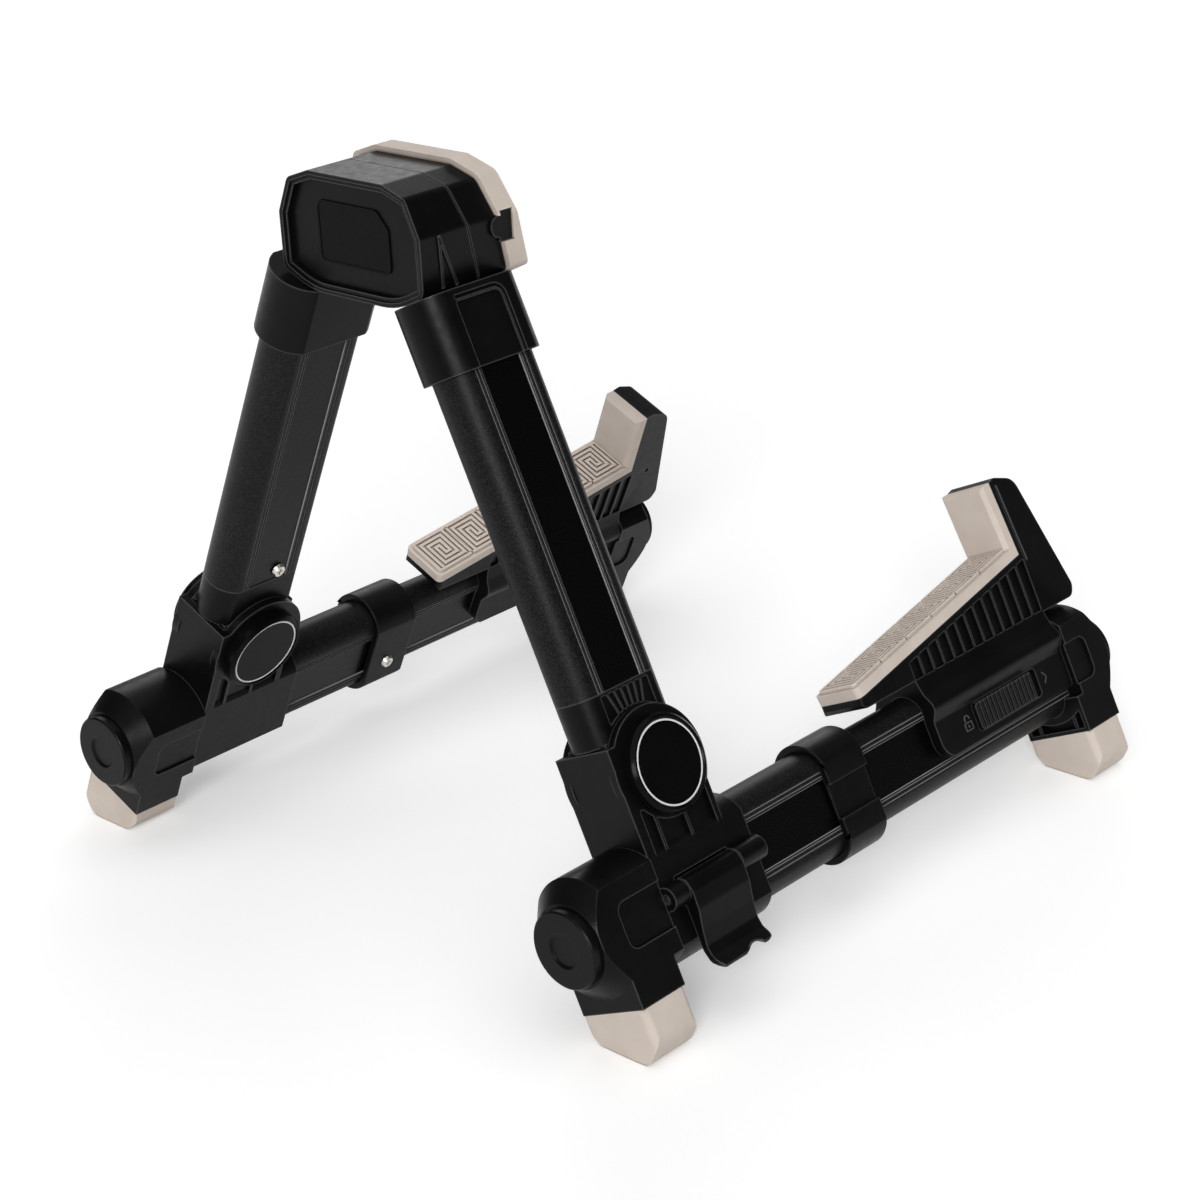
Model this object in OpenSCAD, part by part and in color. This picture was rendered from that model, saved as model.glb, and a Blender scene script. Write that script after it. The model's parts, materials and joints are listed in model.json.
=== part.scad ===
// Folding A-frame ukulele stand.
// The front faces -Y, +Z is up, and the origin is on the floor under the middle of the stand.
// Each leg is drawn in its own frame: n outwards, t forwards along the base tube, u up the upright,
// with its origin on the base tube's axis under the knuckle. The left leg mirrors the right one.

/* [Stance] */
// Lean of each upright from vertical, in degrees
lean = 25; // [23:0.5:27]
// Distance along a leg from the base tube's axis to the hinge pin in the head
leg_len = 205; // [190:1:240]
// Height of the base tubes' axes above the floor
axis_h = 32.5; // [32:0.1:34]
// Distance of each hinge pin from the middle of the head
hinge_x = 11.5; // [11:0.1:12.5]
// Distance of the hinge pin from the upright's centre line, towards the middle of the head
hinge_inset = 3.2; // [2.8:0.1:3.6]

/* [Tubes] */
// Width of the upright and base tubes
tube_w = 33.5; // [32.5:0.1:34]
// Thickness of the upright and base tubes over their flat sides
tube_t = 16; // [15.5:0.1:16.5]
// Width of the tubes' flat sides
tube_flat = 23; // [22:0.1:24]
// Wall thickness of the tubes
tube_wall = 1.2; // [1:0.1:1.4]
// Width of the sunk gloss band along the flat sides
band_w = 15; // [13:0.5:16]
// Depth of the gloss band
band_d = 0.35; // [0.2:0.05:0.5]

/* [Head] */
// Depth of the head behind the hinge plane
head_back = 14; // [13.5:0.1:16]
// Half the width of the head
head_half = 28.7; // [28.2:0.1:30]
// Height of the head above the hinge pins
head_rise = 8.4; // [8:0.1:11]
// Distance from the hinge pins down to the underside of the head
head_drop = 26.7; // [26:0.1:28]
// Lean of the head's seam and front face, in degrees
head_lean = 11.5; // [8:0.5:13]
// Place of the seam at the height of the pins, forward of the hinge plane
seam_f = 3; // [1:0.5:4]
// Place of the front face at the height of the pins, forward of the hinge plane
front_f = 14.2; // [13:0.1:16]
// Wall thickness of the head shells
head_wall = 2.2; // [1.8:0.1:2.5]
// Depth of the recess in the back of the head
panel_d = 2.3; // [1.5:0.1:2.6]
// Thickness of the head pad
head_pad_t = 7; // [5:0.5:8]
// How far the head pad stands out past the head's outline
head_pad_edge = 1.8; // [0.5:0.1:2.5]

/* [Hinge] */
// Radius of the hinge pins
pin_r = 2.5; // [2:0.1:3]
// Radius of the lug round each hinge pin
lug_r = 6; // [5.5:0.1:6.2]
// Width of the lug along the pin
lug_w = 14; // [11:0.5:14.5]

/* [Collars] */
// Wall thickness of the top and mid collars
collar_wall = 2.4; // [2:0.1:2.6]
// Length of the top collar
top_collar_len = 22.6; // [18:0.1:30]
// Length of the mid collar
mid_collar_len = 17.8; // [14:0.1:20]
// Place of the mid collar's rear end, forward of the knuckle
mid_collar_t = 60.2; // [58:0.1:66]

/* [Knuckle] */
// Height of the knuckle bolt above the base tube's axis
knuckle_u = 35; // [34.5:0.1:38]
// Radius of the knuckle's ears
ear_r = 17.4; // [16.8:0.1:18]
// Thickness of the knuckle's ears
ear_wall = 2.8; // [2.4:0.1:3.2]
// Radius of the knuckle bolt
bolt_r = 3; // [2.5:0.1:4]
// Radius of the round caps over the bolt
cap_disc_r = 14.2; // [12:0.1:15]
// Height of the round caps
cap_disc_h = 4.2; // [3.8:0.1:5]
// Length of the upright's plug above the knuckle bolt
plug_len = 24.8; // [22:0.1:30]
// Place of the sleeve's rear end, behind the knuckle bolt
sleeve_back = 17; // [16.6:0.1:18]
// Place of the sleeve's front end, forward of the knuckle bolt
sleeve_front = 22.5; // [20.5:0.1:24]
// Wall thickness of the sleeve above and below the tube
sleeve_wall = 2.1; // [1.8:0.1:2.6]

/* [Lock lever] */
// Distance of the lever's hinge from the plane of the leg
lever_n = 12.2; // [12:0.1:12.6]
// Height of the lever's hinge above the base tube's axis
lever_u = 1; // [0:0.1:2]
// Radius of the lever's barrel
barrel_r = 3.4; // [3:0.1:3.6]
// Length of the lever along the tube
lever_len = 21.8; // [18:0.1:23]
// How far the lever hangs below the base tube's axis
lever_drop = 22.5; // [20:0.1:26]
// Radius of the lever's pin
lever_pin_r = 1.3; // [1:0.1:1.6]

/* [End caps and feet] */
// Radius of the end caps round the tube
cap_r = 18.2; // [18:0.1:19]
// Half the width between an end cap's flat sides
cap_half = 12.6; // [12:0.1:13.2]
// Length of the rear end cap's body
rear_cap_len = 21.5; // [20:0.1:26]
// Length of the front end cap's body
front_cap_len = 14; // [13:0.1:20]
// Length of the cone and button in front of an end cap's body
nose_len = 8.5; // [7:0.1:10]
// Radius of the button on an end cap
button_r = 11.65; // [10:0.1:12.2]
// Length of the shank and foot along the tube
foot_len = 17.2; // [16:0.1:19]
// Distance from the base tube's axis down to the seam over the foot
foot_seam = 22; // [21:0.1:23.5]
// Place of the front end cap's mouth, forward of the knuckle
front_mouth = 181.3; // [176:0.1:190]

/* [Cradle] */
// Length of the cradle's saddle
saddle_len = 68.9; // [60:0.1:72]
// Distance of the lip's inner corner behind the saddle's front end
lip_set = 1.7; // [0.5:0.1:4]
// Rise of the cradle's pad towards the front, in degrees
pad_rise = 10; // [7:0.5:12]
// Height of the arm's heel under the pad's rear end
heel_h = 3.5; // [3:0.1:5]
// Length of the pad's seat
pad_len = 94; // [86:0.5:96]
// Width of the pad
pad_w = 17.8; // [16:0.1:19]
// Thickness of the pad
pad_t = 4.5; // [3.5:0.1:5]
// Height of the lip
lip_h = 25.4; // [20:0.1:28]
// Lean of the lip back towards the upright, in degrees
lip_lean = 4.5; // [0:0.5:8]
// Thickness of the lip behind its pad
lip_back = 13; // [10:0.1:14]
// Number of ribs along the side of the cradle's arm
arm_ribs = 13; // [8:1:16]
// Length of the lock slider's grip
lock_len = 30.7; // [24:0.1:34]
// Travel of the lock slider
lock_travel = 3; // [2:0.5:4]

/* [Clearances] */
// Clearance between pieces that move on each other
run_gap = 0.3; // [0.2:0.05:0.4]
// Clearance round a tube that slides
slide_gap = 0.2; // [0.1:0.05:0.3]
// Clearance between pieces that are fixed together
fit_gap = 0.1; // [0.05:0.05:0.15]
// Clearance between a pin and its hole
pin_gap = 0.05; // [0.02:0.01:0.1]

/* [Hidden] */
$fn = 64;
arc_steps = 5;
far = 200;
eps = 0.01;

half_t = tube_t / 2;
half_w = tube_w / 2;
ext_w = tube_w - 2 * tube_wall - 2 * fit_gap;
ext_t = tube_t - 2 * tube_wall - 2 * fit_gap;
ext_flat = tube_flat - 2 * tube_wall;
ext_wall = tube_wall;
groove_from = [0.8, 2.1];
groove_w = 0.5;
groove_d = 0.25;

base_x = hinge_x + leg_len * sin(lean) + hinge_inset * cos(lean);
pin_z = axis_h + leg_len * cos(lean) - hinge_inset * sin(lean);
rear_end = -sleeve_back - 2 * run_gap + 0.1 - rear_cap_len - nose_len;
front_end = front_mouth + front_cap_len + nose_len;
base_y = (front_end + rear_end) / 2;

collar_top = leg_len - head_drop - run_gap;
collar_bottom = collar_top - top_collar_len;
collar_cap = 4.8;
upright_top = collar_top - collar_cap - fit_gap;
plug_top = knuckle_u + plug_len;
collar_w = tube_w + 2 * collar_wall;
collar_t = tube_t + 2 * collar_wall;
collar_flat = tube_flat + 1;
panel_cut = 0.6;

ear_in = half_t + run_gap;
ear_out = ear_in + ear_wall;
rear_wall = 2.5;
plug_r = sleeve_back - rear_wall - run_gap;
wall_rise = 10.5;
wall_top = knuckle_u + wall_rise;
sleeve_w = tube_w + 2 * slide_gap + 2 * sleeve_wall;
ear_front = 14.5;
ear_sunk = 1.2;
rib_t = [-9, 2, 13];

// Head radius, head height and shank radius of the screws
head_screw = [2.6, 1.2, 1.1];
head_screw_len = 13;
side_screw = [2.4, 1.2, 1.4];
screw_hole_r = 1.5;
screw_t = 3.5;
screw_u = plug_top + 3.7;
spigot_len = 15;
fan_ribs = 6;
fan_half = 9.5;
fan_step = 6.5;
fan_depth = 0.5;
bolt_head_h = 2.2;
bolt_head_r = 5.5;

lever_back = -10.3;
lever_front = lever_back + lever_len;
lever_corner = 3.6;
notch_t = 4.3;
notch_r = 5.6;
cam_throw = 0.6;
cam_r = barrel_r + cam_throw;

mid_collar_end = mid_collar_t + mid_collar_len;
base_tube_end = mid_collar_end - 1.6;
mid_screw_t = mid_collar_t + 8.3;
mid_screw_u = -3.8;
tube_overlap = 26;
cap_bore = 17;
cap_floor = 4;
side_cut_d = 0.8;
foot_peg = [14, 7, 2.6];
rear_mouth = -(sleeve_back + 2 * run_gap - 0.1);
saddle_front = front_mouth - run_gap - 0.1;
saddle_back = saddle_front - saddle_len;
pad_back = saddle_front - lip_set - pad_len * cos(pad_rise);
arm_u = half_w + collar_wall + 0.55;
pad_u = arm_u + heel_h;
pad_dir = [cos(pad_rise), sin(pad_rise)];
pad_up = [-sin(pad_rise), cos(pad_rise)];
lip_dir = [-sin(lip_lean), cos(lip_lean)];
lip_front = [-cos(lip_lean), -sin(lip_lean)];
seat_start = [pad_back, pad_u];
seat_end = seat_start + pad_len * pad_dir;
lip_top = seat_end + lip_h * lip_dir;
flap_n = 10.3;
flap_u = -7;
arm_half = pad_w / 2;
lock_back = saddle_back + 0.275 * saddle_len;
lock_low = -3.9;
lock_high = 4.8;

key_squares = 6;
key_turns = 4;
key_start = 1.8;
key_pitch = (pad_len - pad_t - key_start) / key_squares;
key_step = key_pitch / (2 * key_turns);
key_w = 0.42 * key_step;
key_d = 0.8;
pad_base = pad_t - 1.1;
pad_border = 1.3;
pad_chamfer = 1.3;
rail_h = 2.2;
lip_groove = 0.6;
heel_r = 2;

// Frames and extrusions

module right_leg() {
    translate([-base_x, base_y, axis_h]) rotate([0, lean, 0]) rotate([0, 0, 180]) children();
}

module left_leg() {
    mirror([1, 0, 0]) right_leg() children();
}

// The head's frame has its origin between the hinge pins and its y axis forwards
module head_frame() {
    translate([0, base_y, pin_z]) rotate([0, 0, 180]) children();
}

// A profile in n and u, drawn out along t
module along_t(t0, t1) {
    translate([0, t1, 0]) rotate([90, 0, 0]) linear_extrude(t1 - t0) children();
}

// A profile in t and u, drawn out along n
module along_n(n0, n1) {
    translate([n0, 0, 0]) rotate([90, 0, 90]) linear_extrude(n1 - n0) children();
}

// A profile in n and t, drawn out along u
module along_u(u0, u1) {
    translate([0, 0, u0]) linear_extrude(u1 - u0) children();
}

module both_sides() {
    children();
    mirror([1, 0, 0]) children();
}

// Outlines

function unit(v) = v / norm(v);
function outward(a, b) = unit([b[1] - a[1], a[0] - b[0]]);
function mirrored(pts) = concat(pts, [for (i = [len(pts) - 1 : -1 : 0]) [-pts[i][0], pts[i][1]]]);
function both_ways(list) = concat(list, [for (i = [len(list) - 1 : -1 : 0]) list[i]]);

// A convex outline with each side moved out by a distance
function grown(pts, by) = let (count = len(pts)) [
    for (i = [0 : count - 1])
        let (
            before = outward(pts[(i + count - 1) % count], pts[i]),
            after = outward(pts[i], pts[(i + 1) % count])
        )
            pts[i] + by * (before + after) / (1 + before * after)
];

// An outline with its corners rounded, each by its own radius
function rounded(pts, radii) = let (count = len(pts)) [
    for (i = [0 : count - 1])
        let (
            r = is_list(radii) ? radii[i] : radii,
            to_last = unit(pts[(i + count - 1) % count] - pts[i]),
            to_next = unit(pts[(i + 1) % count] - pts[i]),
            half = acos(to_last * to_next) / 2,
            centre = pts[i] + unit(to_last + to_next) * r / sin(half),
            first = pts[i] + to_last * r / tan(half) - centre,
            last = pts[i] + to_next * r / tan(half) - centre,
            a0 = atan2(first[1], first[0]),
            turn = atan2(last[1], last[0]) - a0,
            sweep = turn > 180 ? turn - 360 : turn < -180 ? turn + 360 : turn
        )
        for (k = [0 : (r > 0 ? arc_steps : 0)])
            r > 0 ? centre + r * [cos(a0 + sweep * k / arc_steps), sin(a0 + sweep * k / arc_steps)] : pts[i]
];

// The tubes' flat-sided outline: its width lies along the second axis
module tube_outline(w, t, flat, grow = 0) {
    reach = (w * w / 4 - flat * flat / 4 - t * t / 4) / (w - flat);
    end_r = w / 2 - reach + grow;
    intersection() {
        union() {
            translate([0, reach]) circle(end_r);
            translate([0, -reach]) circle(end_r);
            square([2 * end_r, 2 * reach], center = true);
        }
        square([t + 2 * grow, w + 2 * grow], center = true);
    }
}

module banded_outline(w, t, flat, grow = 0) {
    difference() {
        tube_outline(w, t, flat, grow);
        for (side = [-1, 1]) {
            translate([side * (t / 2 + grow), 0]) square([2 * band_d, band_w - 2 * grow], center = true);
        }
    }
}

// The two fine grooves along each edge of a flat, past the band
module fine_grooves(t) {
    for (side = [-1, 1], edge = [-1, 1], from_band = groove_from) {
        place = [side * t / 2, edge * (band_w / 2 + from_band)];
        translate(place) square([2 * groove_d, groove_w], center = true);
    }
}

module tube_ring() {
    difference() {
        banded_outline(tube_w, tube_t, tube_flat);
        fine_grooves(tube_t);
        tube_outline(tube_w, tube_t, tube_flat, -tube_wall);
    }
}

module extension_ring() {
    difference() {
        banded_outline(ext_w, ext_t, ext_flat);
        fine_grooves(ext_t);
        tube_outline(ext_w, ext_t, ext_flat, -ext_wall);
    }
}

// A cross-head screw along its own z axis, with the head's top at the origin
module pan_screw(size, shank_len) {
    head_r = size[0];
    head_h = size[1];
    shank_r = size[2];
    difference() {
        union() {
            translate([0, 0, -head_h]) cylinder(r1 = head_r, r2 = head_r * 0.8, h = head_h);
            translate([0, 0, -head_h - shank_len]) cylinder(r = shank_r, h = shank_len + eps);
        }
        for (a = [0, 90]) {
            rotate([0, 0, a]) cube([head_r * 1.1, head_r * 0.28, head_h], center = true);
        }
    }
}

// Head

// The underside follows the collars' swing: an arc about each pin, then a slope square to the open leg
function underside(x) = (x - hinge_x) * tan(lean) - head_drop / cos(lean);
swing_arc = [
    for (k = [0 : arc_steps]) let (turn = lean * k / arc_steps) [hinge_x, 0] + head_drop * [sin(turn), -cos(turn)]
];
head_low_z = underside(head_half);
head_corners = mirrored(concat(swing_arc, [
    [head_half, head_low_z],
    [head_half, head_rise - 13.6],
    [head_half - 4.7, head_rise - 3.1],
    [head_half - 13.6, head_rise]
]));
head_outline = rounded(head_corners, both_ways(concat([for (k = swing_arc) 0], [3.2, 3.2, 3.2, 4])));
// The pad stands out at the top and sides only, so that the collars swing clear of it
pad_outline = mirrored(concat(
    swing_arc,
    [[head_half + head_pad_edge, underside(head_half + head_pad_edge)]],
    [for (k = [1 : 3]) grown(head_corners, head_pad_edge)[len(swing_arc) + k]]
));
pad_radii = both_ways(concat([for (k = swing_arc) 0], [2.4, 3.4, 3.4, 4.4]));
panel_f = -head_back + panel_d;
panel_back = panel_f + 2;
boss_f = lug_w / 2 + run_gap;
head_screw_at = [22.2, 0];
head_boss_r = 3;
rim_w = 1.3;
rim_step = 0.6;
seam_w = 0.5;
seam_d = 0.4;
tab_z = -8;
tab_r = 3.2;
tab_half = 4.4;
tab_f = front_f + 1.6;
tab_len = 4.8;
tab_out = 0.9;

// All that lies behind a leaning plane through the head
module behind(f) {
    translate([0, f, 0]) rotate([head_lean, 0, 0]) translate([-far, -2 * far, -far]) cube(2 * far);
}

module pin_places() {
    for (side = [-1, 1]) {
        translate([side * hinge_x, 0, 0]) rotate([-90, 0, 0]) children();
    }
}

module head_screw_places() {
    for (side = [-1, 1]) {
        translate([side * head_screw_at[0], 0, head_screw_at[1]]) rotate([-90, 0, 0]) children();
    }
}

// The openings in the underside for the collars' lugs, open at the seam
module lug_openings(front) {
    inner = hinge_x - lug_r - 0.7;
    outer = head_half - head_wall;
    rise = head_drop + head_low_z + head_wall + 1;
    both_sides() translate([inner, -boss_f, -head_drop - rise]) {
        cube([outer - inner, boss_f + front, 2 * rise]);
    }
}

module head_rear_shell() {
    start = panel_back - eps;
    color("#1c1c1d") head_frame() difference() {
        union() {
            difference() {
                intersection() {
                    along_t(-head_back, far) polygon(head_outline);
                    behind(seam_f);
                }
                along_t(panel_back, far) polygon(grown(head_outline, -head_wall));
                along_t(-head_back - 1, panel_f) polygon(grown(head_outline, -head_wall - 0.4));
                along_t(-head_back - 1, -head_back + rim_step) polygon(grown(head_outline, -rim_w));
                lug_openings(far);
            }
            intersection() {
                union() {
                    pin_places() translate([0, 0, start]) cylinder(r = pin_r + 2.5, h = -boss_f - start);
                    head_screw_places() translate([0, 0, start]) cylinder(r = head_boss_r, h = far);
                }
                behind(seam_f);
            }
            side_gussets();
        }
        pin_places() translate([0, 0, panel_back - 1]) cylinder(r = pin_r + pin_gap, h = far);
        head_screw_places() translate([0, 0, panel_back]) cylinder(r = 1.2, h = far);
    }
}

// The two raised lines in a V on each side of the rear shell
module side_gussets() {
    apex = [-7, -5.5];
    feet = [[-6.5, -20.4], [-1.2, -20.6]];
    both_sides() along_n(head_half - 1, head_half + 0.5) {
        for (foot = feet) {
            across = 0.45 * outward(apex, foot);
            polygon([apex + across, foot + across, foot - across, apex - across]);
        }
    }
}

module head_front_shell() {
    color("#19191a") head_frame() difference() {
        union() {
            difference() {
                intersection() {
                    along_t(-far, far) polygon(head_outline);
                    behind(front_f);
                }
                behind(seam_f);
                difference() {
                    behind(seam_f + seam_w);
                    along_t(-far, far) polygon(grown(head_outline, -seam_d));
                }
                intersection() {
                    along_t(-far, far) polygon(grown(head_outline, -head_wall));
                    behind(front_f - head_wall);
                }
                lug_openings(boss_f);
            }
            difference() {
                intersection() {
                    union() {
                        pin_places() translate([0, 0, boss_f]) cylinder(r = pin_r + 2.5, h = far);
                        head_screw_places() cylinder(r = head_boss_r, h = far);
                    }
                    behind(front_f - eps);
                }
                behind(seam_f);
            }
            pad_tabs(0, head_half + tab_out);
        }
        pin_places() cylinder(r = pin_r + pin_gap, h = front_f - head_wall - 1.2);
        head_screw_places() cylinder(r = 1.6, h = far);
        head_screw_places() translate([0, 0, front_f - 2.2]) cylinder(r = 2.8, h = far);
    }
}

// The tabs that hold the head pad at its sides: a block in the pad's notch, round where it leaves the shell
module pad_tabs(gap, out) {
    both_sides() along_n(head_half - 1.6 - gap, out) {
        translate([tab_f, tab_z]) circle(tab_r + gap);
        translate([tab_f, tab_z - tab_half - gap]) square([tab_len + gap, 2 * (tab_half + gap)]);
    }
}

module head_pad() {
    color("#cfc4bb") head_frame() difference() {
        intersection() {
            along_t(-far, far) polygon(rounded(pad_outline, pad_radii));
            behind(front_f + head_pad_t / cos(head_lean));
        }
        behind(front_f);
        pad_tabs(fit_gap, far);
    }
}

module head_label_plate() {
    half = 14.5;
    low = -18;
    cut = [4.5, 5];
    plate_t = 0.5;
    top_f = panel_f - plate_t;
    border = 0.7;
    sunk = 0.2;
    outline = [[-half, low], [half, low], [half, -cut[1]], [half - cut[0], 0], [-half, 0]];
    corners = [2.5, 2.5, 2, 2, 2.5];
    color("#0c0c0d") head_frame() difference() {
        along_t(top_f, panel_f) polygon(rounded(outline, corners));
        along_t(top_f - 1, top_f + sunk) polygon(grown(rounded(outline, corners), -border));
    }
}

module head_screws() {
    color("silver") head_frame() head_screw_places() {
        translate([0, 0, front_f - 1]) pan_screw(head_screw, head_screw_len);
    }
}

// Uprights

module hinge_pin() {
    color("silver") along_pin() cylinder(r = pin_r, h = front_f - head_wall - 1.2 - panel_back + 0.8);
}

module along_pin() {
    translate([-hinge_inset, panel_back - 0.9, leg_len]) rotate([-90, 0, 0]) children();
}

module collar_outline() {
    tube_outline(collar_w, collar_t, collar_flat);
}

// The collar's side panel, open at the bottom and rounded at its top front corner
module panel_outline(inset) {
    back = inset > 0 ? -collar_w : -9.5;
    front = 9 - inset;
    top = collar_top - 2 - inset;
    low = collar_bottom - 1;
    polygon(rounded([[back, low], [front, low], [front, top], [back, top]], [0, 0, 4 - inset, 0]));
}

// What the panel takes from the collar, less a raised line that follows its edge
module collar_panel() {
    along_n(collar_t / 2 - panel_cut, collar_t) difference() {
        panel_outline(0);
        difference() {
            panel_outline(1);
            panel_outline(1.8);
        }
    }
}

module top_collar() {
    neck_in = -hinge_inset - lug_r;
    neck_out = -hinge_inset + lug_r - 2.4;
    color("#1b1b1c") difference() {
        union() {
            along_u(collar_bottom, collar_top) collar_outline();
            along_t(-lug_w / 2, lug_w / 2) {
                translate([-hinge_inset, leg_len]) circle(lug_r);
                translate([neck_in, collar_top - 1]) square([neck_out - neck_in, leg_len - collar_top + 1]);
            }
        }
        along_u(collar_bottom - 1, upright_top + fit_gap) tube_outline(tube_w, tube_t, tube_flat, fit_gap);
        translate([0, -lug_w, 0]) translate([-hinge_inset, 0, leg_len]) rotate([-90, 0, 0]) {
            cylinder(r = pin_r + pin_gap, h = 2 * lug_w);
        }
        collar_panel();
    }
}

module upright_tube() {
    color("#202021") difference() {
        along_u(plug_top, upright_top) tube_ring();
        translate([0, screw_t, screw_u]) rotate([0, -90, 0]) cylinder(r = screw_hole_r, h = half_t + 1);
    }
}

// The sunk field over the knuckle's ear, left with fanning ribs
module plug_field() {
    difference() {
        translate([-fan_half, knuckle_u]) square([2 * fan_half, plug_top - knuckle_u - 1]);
        translate([0, knuckle_u]) circle(ear_r + 0.8);
        for (i = [0 : fan_ribs - 1]) {
            turn = (i - (fan_ribs - 1) / 2) * fan_step;
            translate([0, knuckle_u]) rotate(-turn) translate([-0.35, 0]) square([0.7, far]);
        }
    }
}

module upright_plug() {
    color("#1d1d1e") difference() {
        union() {
            along_u(wall_top + run_gap, plug_top) tube_outline(tube_w, tube_t, tube_flat);
            along_u(plug_top - eps, plug_top + spigot_len) {
                tube_outline(tube_w, tube_t, tube_flat, -tube_wall - fit_gap);
            }
            along_n(-half_t, half_t) {
                translate([0, knuckle_u]) circle(plug_r);
                translate([-plug_r, knuckle_u]) square([2 * plug_r, wall_top - knuckle_u + 1]);
            }
        }
        translate([-far, 0, knuckle_u]) rotate([0, 90, 0]) cylinder(r = bolt_r + pin_gap, h = 2 * far);
        translate([-half_t - 1, screw_t, screw_u]) rotate([0, 90, 0]) cylinder(r = screw_hole_r, h = 9);
        along_n(half_t - fan_depth, half_t + 1) plug_field();
    }
}

module upright_screw() {
    color("silver") translate([-half_t - 1.2, screw_t, screw_u]) rotate([0, -90, 0]) pan_screw(side_screw, 7);
}

// Knuckle

module lever_axis(t0) {
    translate([lever_n, t0, lever_u]) rotate([-90, 0, 0]) children();
}

module ear_outline() {
    translate([0, knuckle_u]) circle(ear_r);
    translate([-sleeve_back, 0]) square([sleeve_back + ear_front, knuckle_u]);
    translate([-sleeve_back, knuckle_u - eps]) square([sleeve_back, wall_top - knuckle_u]);
}

// The sunk field below each ear, left with three thin ribs
module ear_field() {
    low = lever_u + 10.5;
    back = -sleeve_back + 3.5;
    difference() {
        translate([back, low]) square([ear_front - 1.2 - back, knuckle_u - low - 9]);
        translate([0, knuckle_u]) circle(cap_disc_r + 1);
        for (t = rib_t) {
            translate([t - 0.5, 0]) square([1, knuckle_u]);
        }
    }
}

module knuckle_bracket() {
    lug_n = lever_n - 3.2;
    color("#1a1a1b") difference() {
        union() {
            along_t(-sleeve_back, sleeve_front) tube_outline(sleeve_w, 2 * ear_out, tube_flat + 2.5);
            both_sides() difference() {
                along_n(ear_in, ear_out) ear_outline();
                along_n(ear_out - ear_sunk, ear_out + 1) ear_field();
            }
            along_n(-ear_out, ear_out) translate([-sleeve_back, 0]) square([rear_wall, wall_top]);
            for (span = [[-sleeve_back, lever_back - run_gap], [lever_front + run_gap, sleeve_front]]) {
                along_t(span[0], span[1]) {
                    translate([lever_n, lever_u]) circle(barrel_r + 0.2);
                    translate([lug_n, lever_u - barrel_r - 0.2]) square([3.2, 2 * barrel_r + 0.4]);
                }
            }
        }
        along_t(-far, far) tube_outline(tube_w, tube_t, tube_flat, slide_gap);
        translate([lug_n - 2, lever_back - run_gap, lever_u - cam_r - run_gap]) {
            cube([far, lever_len + 2 * run_gap, 2 * (cam_r + run_gap)]);
        }
        translate([-far, 0, knuckle_u]) rotate([0, 90, 0]) cylinder(r = bolt_r + pin_gap, h = 2 * far);
        lever_axis(-far) cylinder(r = lever_pin_r + pin_gap, h = 2 * far);
    }
}

module knuckle_bolt() {
    color("silver") translate([-ear_out - bolt_head_h, 0, knuckle_u]) rotate([0, 90, 0]) {
        cylinder(r = bolt_r, h = 2 * ear_out + bolt_head_h + eps);
        translate([0, 0, 2 * ear_out + bolt_head_h]) cylinder(r = bolt_head_r, h = bolt_head_h);
    }
}

module knuckle_nut() {
    color("silver") translate([-ear_out - bolt_head_h, 0, knuckle_u]) rotate([0, 90, 0]) difference() {
        cylinder(r = bolt_head_r, h = bolt_head_h, $fn = 6);
        translate([0, 0, -1]) cylinder(r = bolt_r + pin_gap, h = bolt_head_h + 2);
    }
}

module disc_cap() {
    rim = 1;
    difference() {
        rotate_extrude() polygon([
            [0, 0], [cap_disc_r, 0], [cap_disc_r, cap_disc_h - rim], [cap_disc_r - rim, cap_disc_h],
            [cap_disc_r - 1.4, cap_disc_h], [cap_disc_r - 1.8, cap_disc_h - 0.5], [0, cap_disc_h - 0.5]
        ]);
        translate([0, 0, -1]) cylinder(r = bolt_head_r + 0.4, h = bolt_head_h + 1 + fit_gap);
    }
}

module outer_cap() {
    color("#151516") translate([ear_out, 0, knuckle_u]) rotate([0, 90, 0]) disc_cap();
}

module inner_cap() {
    color("#151516") translate([-ear_out, 0, knuckle_u]) rotate([0, -90, 0]) disc_cap();
}

// The lever's section: a barrel with a cam, a plate down the sleeve's side and a finger tab
module lock_lever() {
    face = ear_out + run_gap + 0.1;
    tip = -lever_drop;
    plate = [
        [lever_n, lever_u + cam_r - 0.2], [lever_n + 2.6, lever_u + 2.8], [lever_n + 3.9, lever_u - 0.5],
        [lever_n + 3.7, lever_u - 6], [face + 2.9, lever_u - 12], [face + 2.1, tip + 6.5],
        [face + 2.8, tip + 3.4], [face + 5.6, tip + 0.6], [face + 4.6, tip - 0.9],
        [face + 1.4, tip + 1.8], [face, tip + 5.5], [face, lever_u - 2], [lever_n - 2, lever_u + 0.4]
    ];
    soft = [0, 1.2, 3, 6, 12, 3, 3, 0.7, 0.7, 3, 4, 0, 0];
    color("#161617") difference() {
        union() {
            lever_axis(lever_back) cylinder(r = barrel_r, h = lever_len);
            lever_axis(lever_back) translate([-cam_throw, 0, 0]) cylinder(r = barrel_r, h = lever_len);
            intersection() {
                along_t(lever_back, lever_front) polygon(rounded(plate, soft));
                along_n(0, far) lever_plan();
            }
        }
        lever_axis(-far) cylinder(r = lever_pin_r + pin_gap, h = 2 * far);
        translate([0, notch_t, tip + 1.4 - notch_r]) rotate([0, 90, 0]) cylinder(r = notch_r, h = far);
    }
}

// The lever's outline in t and u, rounded at its two lower corners
module lever_plan() {
    low = -lever_drop - 1;
    high = lever_u + 2 * barrel_r;
    corners = [[lever_back, low], [lever_front, low], [lever_front, high], [lever_back, high]];
    polygon(rounded(corners, [lever_corner, lever_corner, 0, 0]));
}

module lever_pin() {
    length = sleeve_back + lever_front + 5;
    color("silver") lever_axis(-sleeve_back + 0.3) cylinder(r = lever_pin_r, h = length);
}

// Base

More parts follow.
